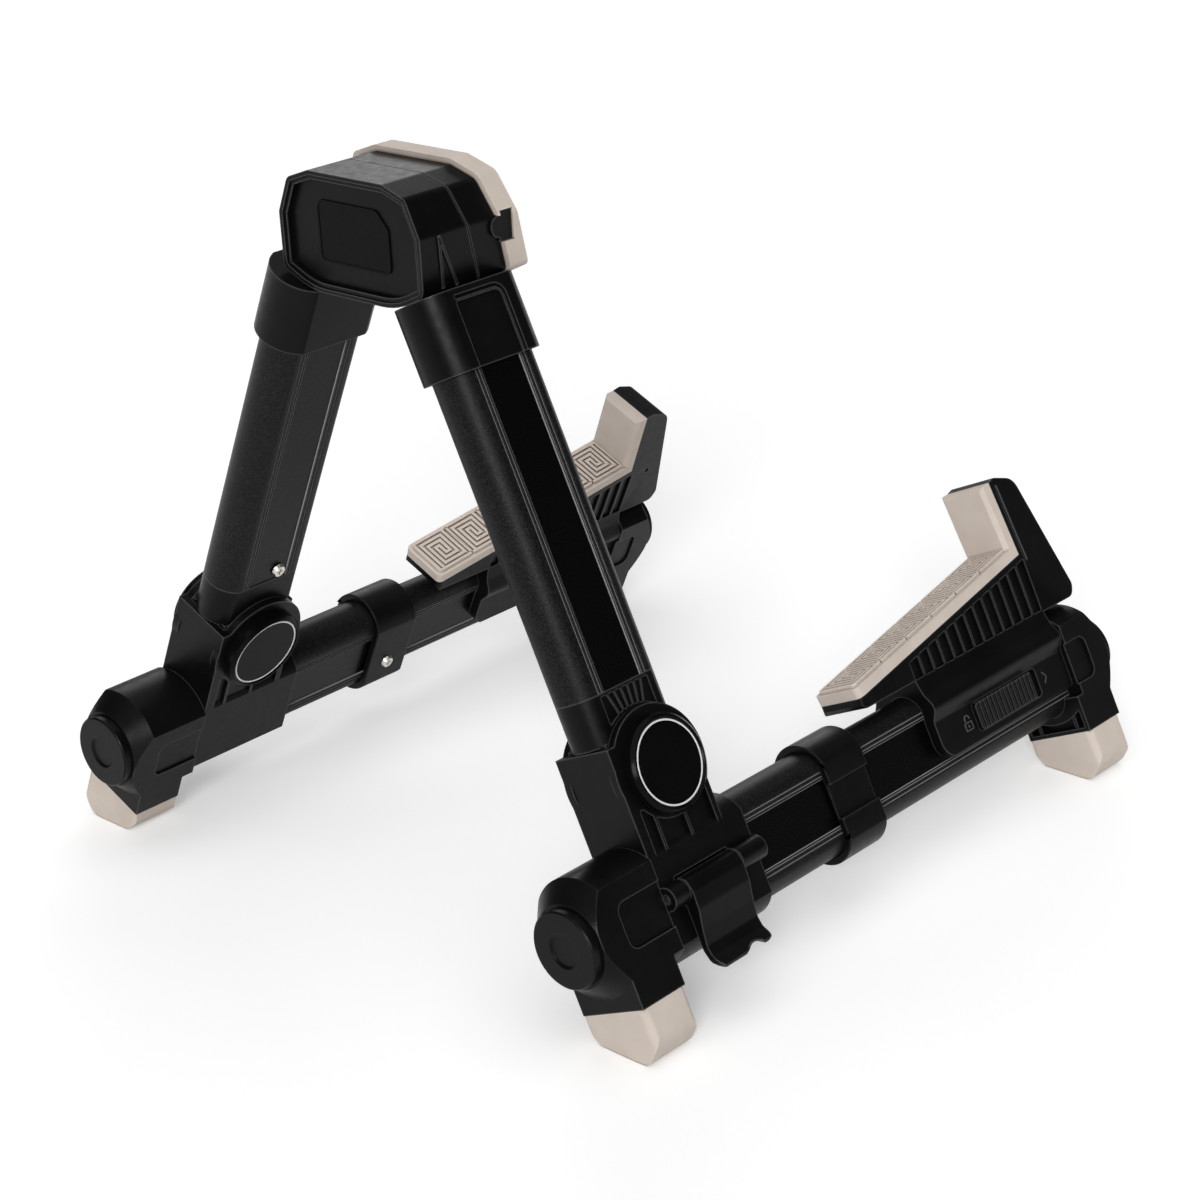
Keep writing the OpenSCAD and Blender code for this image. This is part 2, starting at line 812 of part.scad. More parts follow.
module base_tube() {
    color("#1e1e1f") difference() {
        along_t(rear_mouth - cap_bore + fit_gap, base_tube_end) tube_ring();
        translate([-half_t, mid_screw_t, mid_screw_u]) rotate([0, 90, 0]) {
            cylinder(r = screw_hole_r, h = half_t, center = true);
        }
    }
}

module extension_tube() {
    tube_end = front_mouth + front_cap_len - cap_floor - fit_gap;
    color("#1e1e1f") difference() {
        along_t(mid_collar_t - tube_overlap, tube_end) extension_ring();
        translate([-half_t, mid_screw_t, mid_screw_u]) rotate([0, 90, 0]) {
            cylinder(r = screw_hole_r, h = half_t, center = true);
        }
    }
}

module mid_collar() {
    color("#1b1b1c") difference() {
        along_t(mid_collar_t, mid_collar_end) collar_outline();
        along_t(mid_collar_t - 1, base_tube_end + fit_gap) tube_outline(tube_w, tube_t, tube_flat, fit_gap);
        along_t(mid_collar_t, far) tube_outline(ext_w, ext_t, ext_flat, fit_gap);
        along_n(collar_t / 2 - 1.3, far) translate([mid_collar_t - 1, -5.3]) square([far, 10.6]);
        translate([-far, mid_screw_t, mid_screw_u]) rotate([0, 90, 0]) cylinder(r = screw_hole_r, h = far);
    }
}

module collar_screw() {
    color("silver") translate([-collar_t / 2 - 1.2, mid_screw_t, mid_screw_u]) rotate([0, -90, 0]) {
        pan_screw(side_screw, collar_wall + tube_wall + 3);
    }
}

module rear_place() {
    translate([0, rear_mouth, 0]) rotate([90, 0, 0]) children();
}

module front_place() {
    translate([0, front_mouth, 0]) mirror([0, 1, 0]) rotate([90, 0, 0]) children();
}

// An end cap in its own frame: its mouth at z = 0, the nose along +z, the foot along -y, its bore the child's
module end_cap(body, bore) {
    cone = nose_len - 3;
    shank = body - foot_len;
    color("#1a1a1b") difference() {
        union() {
            intersection() {
                rotate_extrude() polygon([
                    [0, 0], [cap_r, 0], [cap_r, body], [button_r + 0.9, body + cone], [button_r, body + cone],
                    [button_r, body + nose_len - 0.5], [button_r - 0.5, body + nose_len],
                    [5.4, body + nose_len], [4.6, body + nose_len - 0.7], [0, body + nose_len - 0.7]
                ]);
                translate([-cap_half, -far, -1]) cube([2 * cap_half, 2 * far, far]);
            }
            translate([-cap_half, -foot_seam, shank]) cube([2 * cap_half, foot_seam - 10, foot_len]);
        }
        translate([0, 0, -foot_len]) linear_extrude(bore + foot_len) children();
        both_sides() along_n(cap_half - side_cut_d, cap_half + 1) side_recess(body - 4);
        shank_pocket(shank);
        translate([-foot_peg[0] / 2 - fit_gap, -foot_seam - 1, body - (foot_len + foot_peg[1]) / 2 - fit_gap]) {
            cube([foot_peg[0] + 2 * fit_gap, foot_peg[2] + 1 + fit_gap, foot_peg[1] + 2 * fit_gap]);
        }
    }
}

// The recess in an end cap's flat sides, open at the mouth and rounded at the nose
module side_recess(deep) {
    low = -6.5;
    high = 7;
    polygon(rounded([[low, -1], [high, -1], [high, deep], [low, deep]], [0, 0, 3, 3]));
}

// The open, ribbed hollow in the side of the shank that faces the knuckle
module shank_pocket(shank) {
    wide = cap_half - 1.6;
    difference() {
        translate([-wide, -foot_seam + 1.4, shank - 1]) cube([2 * wide, foot_seam - 8, 4.5]);
        translate([0, 0, shank - 2]) cylinder(r = cap_r, h = 8);
        for (n = [-7.5, 7.5]) {
            translate([n - 0.6, -foot_seam, shank + 0.6]) cube([1.2, foot_seam, 4]);
        }
    }
}

module rear_end_cap() {
    rear_place() end_cap(rear_cap_len, cap_bore) tube_outline(tube_w, tube_t, tube_flat, fit_gap);
}

module front_end_cap() {
    front_place() end_cap(front_cap_len, front_cap_len - cap_floor) {
        tube_outline(ext_w, ext_t, ext_flat, fit_gap);
    }
}

// Where the floor cuts the plane of a foot, in the leg's frame
function floor_u(n) = -(axis_h + n * sin(lean)) / cos(lean);

// A rubber foot between two places along the tube
module rubber_foot(t0, t1) {
    half = cap_half - 0.1;
    mid = (t0 + t1) / 2;
    section = [
        [-half, -foot_seam], [-half - 0.5, -foot_seam - 4.5], [-half + 2.5, floor_u(-half + 2.5)],
        [half - 6.5, floor_u(half - 6.5)], [half, floor_u(half) + 8.7], [half, -foot_seam]
    ];
    deep = floor_u(half) - 2;
    side = [[t0, -foot_seam], [t0, deep], [t1, deep], [t1, -foot_seam]];
    plan = [[-half - 1, t0], [half, t0], [half, t1], [-half - 1, t1]];
    color("#cdc3bb") {
        intersection() {
            along_t(t0, t1) polygon(rounded(section, [0, 6, 4.5, 4, 6, 0]));
            along_n(-far, far) polygon(rounded(side, [0, 7, 7, 0]));
            along_u(-far, 0) polygon(rounded(plan, 2.4));
        }
        translate([-foot_peg[0] / 2, mid - foot_peg[1] / 2, -foot_seam - eps]) {
            cube([foot_peg[0], foot_peg[1], foot_peg[2] + eps]);
        }
    }
}

module rear_foot() {
    rear_rim = rear_mouth - rear_cap_len;
    rubber_foot(rear_rim, rear_rim + foot_len);
}

module front_foot() {
    front_rim = front_mouth + front_cap_len;
    rubber_foot(front_rim - foot_len, front_rim);
}

// Cradle

module saddle_section() {
    outer = mirrored([
        [flap_n, flap_u], [flap_n, 5.8], [flap_n + 2.6, 10.4], [flap_n - 0.3, 15], [arm_half, arm_u]
    ]);
    soft = both_ways([0.8, 2, 3.4, 4, 0]);
    difference() {
        polygon(rounded(outer, soft));
        banded_outline(ext_w, ext_t, ext_flat, slide_gap);
        translate([-ext_t / 2 - slide_gap, 2 * flap_u]) square([ext_t + 2 * slide_gap, -flap_u]);
    }
}

function arm_outline() = let (
    corner = seat_end,
    toe = corner - lip_back * lip_front
) [
    [pad_back + 1.5, arm_u],
    [pad_back, arm_u + 1.5],
    seat_start,
    corner,
    lip_top,
    lip_top - 3 * lip_front + 0.6 * lip_dir,
    lip_top - (lip_back - 1) * lip_front - 3 * lip_dir,
    [toe[0] + 7.6, arm_u + 2.9],
    [toe[0] + 5.6, arm_u - 0.6],
    [saddle_front, arm_u - 0.6],
    [saddle_front, arm_u - 3],
    [saddle_back, arm_u - 3],
    [saddle_back, arm_u]
];

// The sunk fields between the upright ribs on the side of the arm
module arm_fields() {
    pitch = saddle_len / arm_ribs;
    first = saddle_back;
    for (i = [0 : arm_ribs - 1]) {
        back = first + i * pitch + 0.45;
        front = first + (i + 1) * pitch - 0.45;
        polygon([
            [back, arm_u + 0.2], [front, arm_u + 0.2],
            [front, seat_u(front) - rail_h], [back, seat_u(back) - rail_h]
        ]);
    }
}

// Height of the arm's top under the pad
function seat_u(t) = pad_u + (t - pad_back) * tan(pad_rise);

module cradle() {
    corner_r = 6;
    arm_soft = [0, 0, 0, 0, 0, 2, 6, 3, 3, 0, 0, 0, 0];
    color("#18181a") difference() {
        union() {
            intersection() {
                along_t(saddle_back, saddle_front) saddle_section();
                along_n(-far, far) polygon(rounded([
                    [saddle_back, flap_u], [saddle_front, flap_u], [saddle_front, far], [saddle_back, far]
                ], [corner_r, 2, 0, 0]));
            }
            intersection() {
                along_n(-arm_half, arm_half) polygon(rounded(arm_outline(), arm_soft));
                along_u(-far, far) heel_plan(pad_back, far);
            }
        }
        both_sides() along_n(arm_half - 1, arm_half + 1) arm_fields();
        along_n(arm_half - lip_groove, arm_half + 1) lip_line();
        lock_pocket();
        translate([-arm_half - 1, seat_end[0] + 9.5, seat_end[1] - 3]) rotate([0, 90, 0]) {
            cylinder(r = 1, h = 5);
        }
    }
}

// The heel's outline in n and t, rounded at its two rear corners
module heel_plan(back, front, inset = 0) {
    half = arm_half - inset;
    radius = heel_r - inset / 2;
    start = back + inset;
    corners = [[-half, start], [half, start], [half, front], [-half, front]];
    polygon(rounded(corners, [radius, radius, 0, 0]));
}

// The line beside the lip's pad, which ends at the first rib
module lip_line() {
    inner = 2;
    width = 0.6;
    top = lip_top - 2 * lip_dir;
    foot = seat_end - 3 * lip_dir;
    polygon([
        top - inner * lip_front, top - (inner + width) * lip_front,
        foot - (inner + width) * lip_front, foot - inner * lip_front
    ]);
}

function lock_field(low, high, gap) = [
    [low - gap, lock_low - gap], [high + gap, lock_low - gap],
    [high + gap, lock_high + gap], [low - gap, lock_high + gap]
];

module lock_pocket() {
    along_n(flap_n - 1, flap_n + far) {
        polygon(rounded(lock_field(lock_back, lock_back + lock_len + lock_travel, run_gap), 1.5));
    }
}

module lock_slider() {
    ribs = 14;
    pitch = lock_len / ribs;
    outline = rounded(lock_field(lock_back, lock_back + lock_len, 0), 1.2);
    color("#1c1c1e") {
        along_n(flap_n - 1 + run_gap, flap_n + 0.4) polygon(outline);
        along_n(flap_n, flap_n + 1.3) intersection() {
            polygon(outline);
            for (i = [0 : ribs - 1]) {
                translate([lock_back + i * pitch, lock_low]) square([pitch * 0.55, lock_high - lock_low]);
            }
        }
    }
}

// Distance of a spiral arm's side from the middle of its square, nearer after each half turn
function key_reach(i) = key_step * (key_turns - 0.5 - floor(i / 2));

// A groove that turns in a quarter at a time to the middle of its square
module key_arm() {
    for (i = [0 : 2 * key_turns - 2]) {
        from = key_reach(max(i - 1, 0)) + key_w / 2;
        to = key_reach(i + 1) + key_w / 2;
        rotate(90 * i) translate([-from, -key_reach(i) - key_w / 2]) square([from + to, key_w]);
    }
}

// One square of the Greek key: two arms, half a turn apart
module key_square() {
    key_arm();
    rotate(180) key_arm();
}

// The seat's own frame: y up along the seat, z square to it
module on_seat() {
    translate([0, seat_start[0], seat_start[1]]) rotate([pad_rise, 0, 0]) children();
}

module seat_pad() {
    difference() {
        union() {
            linear_extrude(pad_base) heel_plan(0, pad_len);
            translate([0, 0, pad_base - eps]) linear_extrude(pad_t - pad_base + eps) {
                heel_plan(0, pad_len - 1, pad_border);
            }
        }
        for (i = [0 : key_squares - 1]) {
            middle = key_start + (i + 0.5) * key_pitch;
            translate([0, middle, pad_t - key_d]) linear_extrude(key_d + 1) key_square();
        }
        both_sides() for (i = [1 : key_squares - 1]) {
            notch = key_start + i * key_pitch - key_w / 2;
            translate([arm_half - pad_border - 1, notch, pad_base]) cube([2, key_w, pad_t]);
        }
    }
}

// The lip's pad, chamfered round its front face
module lip_pad() {
    low = pad_t - pad_chamfer;
    intersection() {
        along_t(0, lip_h) polygon(mirrored([[arm_half, 0], [arm_half, low], [arm_half - pad_chamfer, pad_t]]));
        along_n(-arm_half, arm_half) {
            polygon([[0, 0], [lip_h, 0], [lip_h, low], [lip_h - pad_chamfer, pad_t], [0, pad_t]]);
        }
    }
}

module cradle_pad() {
    color("#cfc4bb") {
        on_seat() seat_pad();
        translate([0, seat_end[0], seat_end[1]]) rotate([90 + lip_lean, 0, 0]) lip_pad();
    }
}

head_rear_shell();
head_front_shell();
head_pad();
head_label_plate();
head_screws();
right_leg() hinge_pin();  // right_hinge_pin
right_leg() top_collar();  // right_top_collar
right_leg() upright_tube();  // right_upright_tube
right_leg() upright_plug();  // right_upright_plug
right_leg() upright_screw();  // right_upright_screw
right_leg() knuckle_bracket();  // right_knuckle_bracket
right_leg() knuckle_bolt();  // right_knuckle_bolt
right_leg() knuckle_nut();  // right_knuckle_nut
right_leg() outer_cap();  // right_outer_cap
right_leg() inner_cap();  // right_inner_cap
right_leg() lock_lever();  // right_lock_lever
right_leg() lever_pin();  // right_lever_pin
right_leg() base_tube();  // right_base_tube
right_leg() extension_tube();  // right_extension_tube
right_leg() mid_collar();  // right_mid_collar
right_leg() collar_screw();  // right_collar_screw
right_leg() rear_end_cap();  // right_rear_end_cap
right_leg() rear_foot();  // right_rear_foot
right_leg() front_end_cap();  // right_front_end_cap
right_leg() front_foot();  // right_front_foot
right_leg() cradle();  // right_cradle
right_leg() cradle_pad();  // right_cradle_pad
right_leg() lock_slider();  // right_lock_slider
left_leg() hinge_pin();  // left_hinge_pin
left_leg() top_collar();  // left_top_collar
left_leg() upright_tube();  // left_upright_tube
left_leg() upright_plug();  // left_upright_plug
left_leg() upright_screw();  // left_upright_screw
left_leg() knuckle_bracket();  // left_knuckle_bracket
left_leg() knuckle_bolt();  // left_knuckle_bolt
left_leg() knuckle_nut();  // left_knuckle_nut
left_leg() outer_cap();  // left_outer_cap
left_leg() inner_cap();  // left_inner_cap
left_leg() lock_lever();  // left_lock_lever
left_leg() lever_pin();  // left_lever_pin
left_leg() base_tube();  // left_base_tube
left_leg() extension_tube();  // left_extension_tube
left_leg() mid_collar();  // left_mid_collar
left_leg() collar_screw();  // left_collar_screw
left_leg() rear_end_cap();  // left_rear_end_cap
left_leg() rear_foot();  // left_rear_foot
left_leg() front_end_cap();  // left_front_end_cap
left_leg() front_foot();  // left_front_foot
left_leg() cradle();  // left_cradle
left_leg() cradle_pad();  // left_cradle_pad
left_leg() lock_slider();  // left_lock_slider
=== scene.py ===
"""Looks of a folding A-frame ukulele stand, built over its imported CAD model."""

import json
import math

import bmesh
import bpy
from mathutils import Matrix, Vector


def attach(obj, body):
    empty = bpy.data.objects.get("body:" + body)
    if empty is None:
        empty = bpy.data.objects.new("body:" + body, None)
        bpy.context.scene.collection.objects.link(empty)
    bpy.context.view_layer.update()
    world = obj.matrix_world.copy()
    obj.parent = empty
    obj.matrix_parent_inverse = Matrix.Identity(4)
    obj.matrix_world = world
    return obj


MM = 0.001
SIDES = ("right", "left")

# Stance of the legs in mm, as the CAD model has it
LEAN = math.radians(25)
LEG_LEN = 205
HINGE_X = 11.5
HINGE_INSET = 3.2
AXIS_H = 32.5
BASE_X = HINGE_X + LEG_LEN * math.sin(LEAN) + HINGE_INSET * math.cos(LEAN)
BASE_Y = 78.15
KNUCKLE_U = 35
BAND_HALF = 7.5

# Distances from a tube's middle line to the edges of its band and grooves, where thin highlight lines are
# painted, in mm
HIGHLIGHT_LINES = (7.5, 8.3, 9.6)

# Round caps on the knuckles in mm: where the recessed face lies, and the painted ring on it
CAP_FACE_N = 14.8
RING_R = 12
RING_W = 0.6
RING_H = 0.08

# Raised signs on the cradles' outer flaps in mm: the flap's face, and the signs' places and sizes
FLAP_N = 10.27
PADLOCK_T = 126.5
ARROW_T = 168.5
SIGN_U = 0.6
SIGN_W = 0.55
SIGN_H = 0.25

# Rim beside the groove on the outer face of each cradle's lip, in mm: its ends as (t, u)
LIP_N = 8.9
RIM_TOP = (180.2, 63.1)
RIM_FOOT = (182.3, 36.8)
RIM_W = 0.45
RIM_H = 0.2

# Camera fitted to the photograph: target and distance in metres, the direction towards the camera,
# roll in degrees, lens and sensor in mm
CAMERA_TARGET = (-0.0416, 0.0422, 0.0924)
CAMERA_FROM = (-0.637, 0.666, 0.388)
CAMERA_DISTANCE = 0.8005
CAMERA_ROLL = -2.917
CAMERA_LENS = 81.0
SENSOR = 36

# Colours; a pair is the darker and the paler end of one material
PLASTIC = ((0.0022, 0.0022, 0.0025), (0.0042, 0.0042, 0.0046))
# Painted highlight along the plastic's outward edges
PLASTIC_EDGE_HIGHLIGHT = (0.095, 0.095, 0.098)
TUBE = (0.0034, 0.0034, 0.0038)
# Painted glints in scattered cells of the tube's grain
TUBE_GLINT = (0.030, 0.030, 0.031)
TUBE_BLOT = (0.0075, 0.0075, 0.008)
TUBE_BAND = (0.0012, 0.0012, 0.0014)
# Painted highlight on the tubes' outward edges and groove lines
TUBE_HIGHLIGHT = (0.26, 0.26, 0.264)
GLOSS = ((0.002, 0.002, 0.0023), (0.0042, 0.0042, 0.0045))
RUBBER = ((0.60, 0.52, 0.455), (0.66, 0.58, 0.515))
# Painted highlight along the rubber's edges
RUBBER_EDGE_HIGHLIGHT = (0.78, 0.71, 0.65)
# Painted shade in the rubber's corners and grooves
RUBBER_PAINTED_SHADE = (0.17, 0.12, 0.08)
STEEL = ((0.64, 0.61, 0.55), (0.80, 0.78, 0.73))
PAINT = ((0.74, 0.74, 0.74), (0.84, 0.84, 0.84))

# Floor: its colour, the share of it left in the clouds, its glow where seen, and half its side in metres
FLOOR = (0.94, 0.94, 0.94)
FLOOR_CLOUD = 0.985
FLOOR_GLOW = 0.27
FLOOR_HALF = 20

# Lamps: strength, the softbox's width in degrees, and the direction towards it
WORLD_STRENGTH = 0.08
LAMPS = {
    "overhead": (1.4, 80, (-0.1, 0.1, 1)),
    "key": (1.8, 22, (-0.55, 0.75, 0.42)),
    "back": (0.5, 30, (0.637, -0.666, 0.42)),
}

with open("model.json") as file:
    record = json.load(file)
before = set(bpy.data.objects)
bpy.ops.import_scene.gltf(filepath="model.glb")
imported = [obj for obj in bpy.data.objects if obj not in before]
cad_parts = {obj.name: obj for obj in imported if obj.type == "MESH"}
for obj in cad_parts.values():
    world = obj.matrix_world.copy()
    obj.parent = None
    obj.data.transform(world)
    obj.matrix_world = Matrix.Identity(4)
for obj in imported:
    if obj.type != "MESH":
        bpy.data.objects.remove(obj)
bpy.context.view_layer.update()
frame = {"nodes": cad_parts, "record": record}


# Places in the legs' own frames


def leg_point(side, n, t, u):
    """World point of (n outward, t forward, u up the leg), given in mm."""
    x = BASE_X + n * math.cos(LEAN) - u * math.sin(LEAN)
    z = AXIS_H + n * math.sin(LEAN) + u * math.cos(LEAN)
    x = x if side == "left" else -x
    return Vector((x, BASE_Y - t, z)) * MM


def leg_matrix(side):
    """Takes a point (n, t, u) in metres to the world; it mirrors on the left side."""
    origin = leg_point(side, 0, 0, 0)
    axes = []
    for step in ((1, 0, 0), (0, 1, 0), (0, 0, 1)):
        axes.append((leg_point(side, *step) - origin) / MM)
    matrix = Matrix(axes).transposed().to_4x4()
    matrix.translation = origin
    return matrix


def add_mesh(name, mesh_data, matrix=None, smooth=True):
    """New object from a bmesh, moved by matrix, with its faces turned outward."""
    if matrix:
        bmesh.ops.transform(mesh_data, matrix=matrix, verts=mesh_data.verts)
    bmesh.ops.recalc_face_normals(mesh_data, faces=mesh_data.faces)
    mesh = bpy.data.meshes.new(name)
    mesh_data.to_mesh(mesh)
    mesh_data.free()
    for face in mesh.polygons:
        face.use_smooth = smooth
    piece = bpy.data.objects.new(name, mesh)
    bpy.context.scene.collection.objects.link(piece)
    return piece


# Node materials


class Nodes:
    """Short calls for building one material's node tree."""

    def __init__(self, name):
        self.material = bpy.data.materials.new(name)
        self.material.use_nodes = True
        self.tree = self.material.node_tree
        self.shader = self.tree.nodes["Principled BSDF"]
        place = self.tree.nodes.new("ShaderNodeTexCoord")
        self.place = place.outputs["Object"]

    def put(self, socket, value):
        """Joins value to socket, or writes it there when it is a plain number or colour."""
        if isinstance(value, bpy.types.NodeSocket):
            self.tree.links.new(value, socket)
        elif isinstance(value, (tuple, list)) and len(value) == 3 and socket.type == "RGBA":
            socket.default_value = (*value, 1)
        else:
            socket.default_value = value

    def noise(self, size_mm, detail=3, rough=0.5):
        """Noise from 0 to 1 whose blots are about size_mm wide."""
        node = self.tree.nodes.new("ShaderNodeTexNoise")
        self.put(node.inputs["Vector"], self.place)
        node.inputs["Scale"].default_value = 1 / (size_mm * MM)
        node.inputs["Detail"].default_value = detail
        node.inputs["Roughness"].default_value = rough
        return node.outputs["Fac"]

    def cells(self, size_mm):
        """A random value from 0 to 1 for each cell of about size_mm."""
        node = self.tree.nodes.new("ShaderNodeTexVoronoi")
        self.put(node.inputs["Vector"], self.place)
        node.inputs["Scale"].default_value = 1 / (size_mm * MM)
        split = self.tree.nodes.new("ShaderNodeSeparateColor")
        self.put(split.inputs["Color"], node.outputs["Color"])
        return split.outputs["Red"]

    def math(self, operation, a, b=0.0):
        node = self.tree.nodes.new("ShaderNodeMath")
        node.operation = operation
        self.put(node.inputs[0], a)
        self.put(node.inputs[1], b)
        return node.outputs[0]

    def span(self, value, low, high, to_low=0.0, to_high=1.0):
        """Maps value from low..high to to_low..to_high, held at the ends."""
        node = self.tree.nodes.new("ShaderNodeMapRange")
        self.put(node.inputs["Value"], value)
        self.put(node.inputs["From Min"], low)
        self.put(node.inputs["From Max"], high)
        self.put(node.inputs["To Min"], to_low)
        self.put(node.inputs["To Max"], to_high)
        return node.outputs["Result"]

    def blend(self, share, a, b):
        """Colour a where share is 0 and colour b where it is 1."""
        node = self.tree.nodes.new("ShaderNodeMix")
        node.data_type = "RGBA"
        self.put(node.inputs["Factor"], share)
        self.put(node.inputs["A"], a)
        self.put(node.inputs["B"], b)
        return node.outputs["Result"]

    def occlusion(self, reach_mm, inside=False):
        """1 where nothing stands within reach_mm of the face, and less where something does."""
        node = self.tree.nodes.new("ShaderNodeAmbientOcclusion")
        node.samples = 6
        node.inside = inside
        node.only_local = inside
        node.inputs["Distance"].default_value = reach_mm * MM
        return node.outputs["AO"]

    def edges(self, reach_mm):
        """1 along outward edges, where little of the solid lies behind the face, and 0 on plain faces."""
        return self.span(self.occlusion(reach_mm, inside=True), 0.85, 0.5)

    def bump(self, height, depth_mm, strength):
        node = self.tree.nodes.new("ShaderNodeBump")
        node.inputs["Distance"].default_value = depth_mm * MM
        self.put(node.inputs["Strength"], strength)
        self.put(node.inputs["Height"], height)
        return node.outputs["Normal"]

    def shade(self, **inputs):
        """Writes the shader's inputs by name, with _ for a space."""
        for name, value in inputs.items():
            self.put(self.shader.inputs[name.replace("_", " ")], value)
        return self.material


def moulded_plastic():
    """Satin black ABS: fine moulded grain, faint blots, and edges made smoother and painted paler as a
    highlight.
    """
    m = Nodes("moulded_plastic")
    blots = m.noise(18, detail=4)
    highlight_edges = m.edges(0.6)
    grain = m.noise(0.35, detail=3, rough=0.6)
    dull = m.span(m.noise(2.5), 0.3, 0.7, 0.30, 0.40)
    colour = m.blend(m.span(blots, 0.3, 0.7), *PLASTIC)
    # Painted highlight: the outward edges are painted paler
    colour = m.blend(m.math("MULTIPLY", highlight_edges, 0.8), colour, PLASTIC_EDGE_HIGHLIGHT)
    return m.shade(
        Base_Color=colour,
        Roughness=m.math("SUBTRACT", dull, m.math("MULTIPLY", highlight_edges, 0.10)),
        Specular_IOR_Level=0.11,
        Normal=m.bump(grain, 0.03, 0.45),
    )


def anodised_tube(name, across):
    """Fine-grained black aluminium with a smooth dark band down each flat, glints painted in scattered
    cells, and highlights painted along its edges and grooves.

    across measures the distance from the band's middle line, in metres.
    """
    m = Nodes(name)
    distance = m.math("ABSOLUTE", across(m))
    band = m.span(distance, (BAND_HALF + 0.1) * MM, (BAND_HALF - 0.1) * MM)
    glint_cells = m.cells(0.2)
    grain = m.noise(0.3, detail=3, rough=0.6)
    blots = m.noise(12, detail=4)
    # Painted glints: random cells painted brighter over the grain
    plain = m.blend(m.span(glint_cells, 0.65, 1.0), TUBE, TUBE_GLINT)
    plain = m.blend(m.span(blots, 0.35, 0.75, 0, 0.35), plain, TUBE_BLOT)
    rough = m.span(grain, 0.3, 0.7, 0.34, 0.46)
    rough = m.math("SUBTRACT", rough, m.math("MULTIPLY", band, 0.12))
    # Painted highlight: pale along outward edges and along thin lines at the band's and grooves' edges
    painted_highlight = m.math("MULTIPLY", m.edges(0.35), 0.4)
    for line in HIGHLIGHT_LINES:
        off = m.math("ABSOLUTE", m.math("SUBTRACT", distance, line * MM))
        painted_highlight = m.math("MAXIMUM", painted_highlight, m.span(off, 0.15 * MM, 0.06 * MM))
    colour = m.blend(band, plain, TUBE_BAND)
    return m.shade(
        Base_Color=m.blend(painted_highlight, colour, TUBE_HIGHLIGHT),
        Roughness=rough,
        Specular_IOR_Level=0.13,
        Normal=m.bump(grain, 0.03, m.span(band, 0, 1, 0.5, 0.1)),
    )


def across_base(m):
    """Height above the base tube's middle plane, the same on both legs."""
    split = m.tree.nodes.new("ShaderNodeSeparateXYZ")
    m.put(split.inputs[0], m.place)
    out = m.math("SUBTRACT", m.math("ABSOLUTE", split.outputs["X"]), BASE_X * MM)
    up = m.math("SUBTRACT", split.outputs["Z"], AXIS_H * MM)
    return m.math(
        "SUBTRACT",
        m.math("MULTIPLY", up, math.cos(LEAN)),
        m.math("MULTIPLY", out, math.sin(LEAN)),
    )


def across_upright(m):
    """Distance along the object's depth from the upright's middle plane."""
    split = m.tree.nodes.new("ShaderNodeSeparateXYZ")
    m.put(split.inputs[0], m.place)
    return m.math("SUBTRACT", split.outputs["Y"], BASE_Y * MM)


def gloss_plastic():
    """Polished black plastic with faint fine scratches."""
    m = Nodes("gloss_plastic")
    scratches = m.noise(0.6, detail=5, rough=0.7)
    return m.shade(
        Base_Color=m.blend(m.noise(9), *GLOSS),
        Roughness=m.span(scratches, 0.35, 0.75, 0.18, 0.32),
        Specular_IOR_Level=0.06,
        Normal=m.bump(scratches, 0.004, 0.3),
    )


def moulded_rubber():
    """Matt beige rubber with fine grain, faint blots, a highlight painted along its edges and shade
    painted in its corners and grooves.
    """
    m = Nodes("moulded_rubber")
    blots = m.noise(9, detail=5)
    grain = m.noise(0.25, detail=3)
    colour = m.blend(m.span(blots, 0.3, 0.7), *RUBBER)
    # Painted shade: darker brown where occlusion finds nearby surfaces, in corners and grooves
    painted_shade = m.span(m.occlusion(1.0), 0.85, 0.4)
    # Painted highlight: the edges are painted paler
    colour = m.blend(m.math("MULTIPLY", m.edges(0.5), 0.4), colour, RUBBER_EDGE_HIGHLIGHT)
    colour = m.blend(m.math("MULTIPLY", painted_shade, 0.9), colour, RUBBER_PAINTED_SHADE)
    return m.shade(
        Base_Color=colour,
        Roughness=m.span(grain, 0.3, 0.7, 0.62, 0.80),
        Specular_IOR_Level=0.35,
        Normal=m.bump(grain, 0.02, 0.5),
    )


def plated_steel():
    """Bright plated steel with fine turning marks and dull blots."""
    m = Nodes("plated_steel")
    return m.shade(
        Base_Color=m.blend(m.noise(1.2), *STEEL),
        Metallic=1.0,
        Roughness=m.span(m.noise(0.5, detail=4), 0.3, 0.7, 0.22, 0.42),
        Normal=m.bump(m.noise(0.15), 0.01, 0.3),
    )


def white_paint():
    """Printed white line, a little uneven."""
    m = Nodes("white_paint")
    return m.shade(
        Base_Color=m.blend(m.noise(1.5), *PAINT),
        Roughness=m.span(m.noise(0.6), 0.3, 0.7, 0.40, 0.55),
    )


plastic = moulded_plastic()
rubber = moulded_rubber()
finishes = {
    "black_plastic": plastic,
    "gloss_black": gloss_plastic(),
    "beige_rubber": rubber,
    "steel": plated_steel(),
}
tube_finishes = {
    "base_tube": anodised_tube("tube_base", across_base),
    "extension_tube": anodised_tube("tube_base", across_base),
    "upright_tube": anodised_tube("tube_upright", across_upright),
}
paint = white_paint()


# The CAD pieces: rounded edges and finishes

